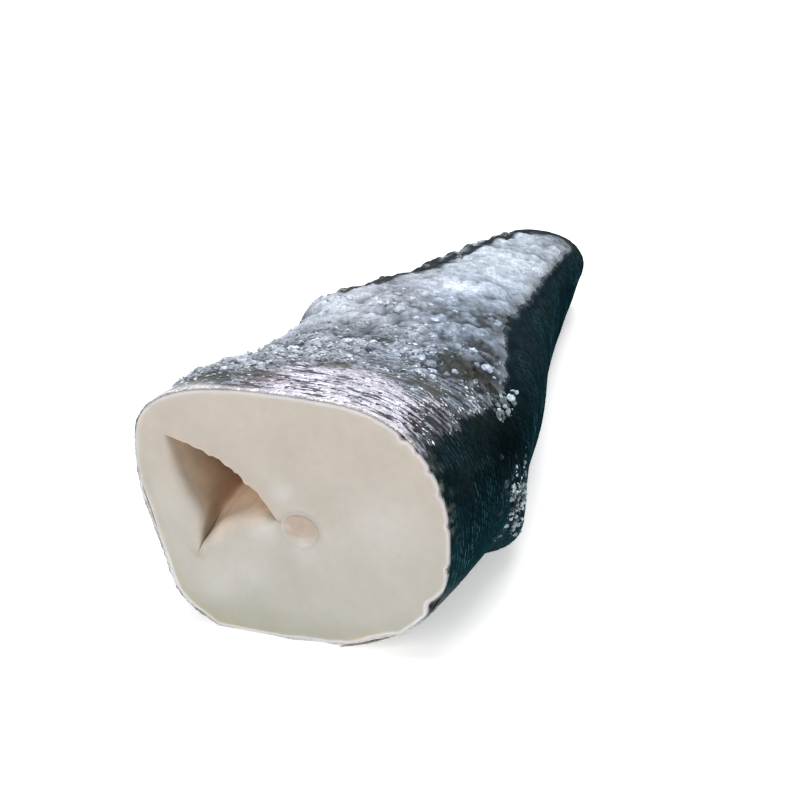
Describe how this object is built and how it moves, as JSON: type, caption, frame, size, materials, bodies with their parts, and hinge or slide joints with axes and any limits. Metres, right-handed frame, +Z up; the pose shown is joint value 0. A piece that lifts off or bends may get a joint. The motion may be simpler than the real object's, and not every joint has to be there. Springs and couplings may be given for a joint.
{
  "type": "patagonian toothfish tail piece",
  "caption": "Frozen tail piece of a patagonian toothfish lying on its flank, cut square across to show pale flesh, an open belly cavity and the backbone; dark scaly skin under frost.",
  "frame": {"origin": "under the middle of the bounding box, on the flat that the lower flank rests on", "axes": "+Z up, +Y from the big cut towards the tail, +X towards the fish's back"},
  "size_m": [0.1598, 0.393, 0.127],
  "materials": {
    "skin": "dark blue-green scaly fish skin, wet gloss under a crust of silver-white frost",
    "flesh": "smooth cream-white frozen fish flesh, softly translucent",
    "bone": "pinkish beige bone, satin",
    "ice": "milky frost and ice crystals"
  },
  "bodies": {
    "root": {"trunk": "skin", "backbone": "bone"}
  },
  "joints": []
}
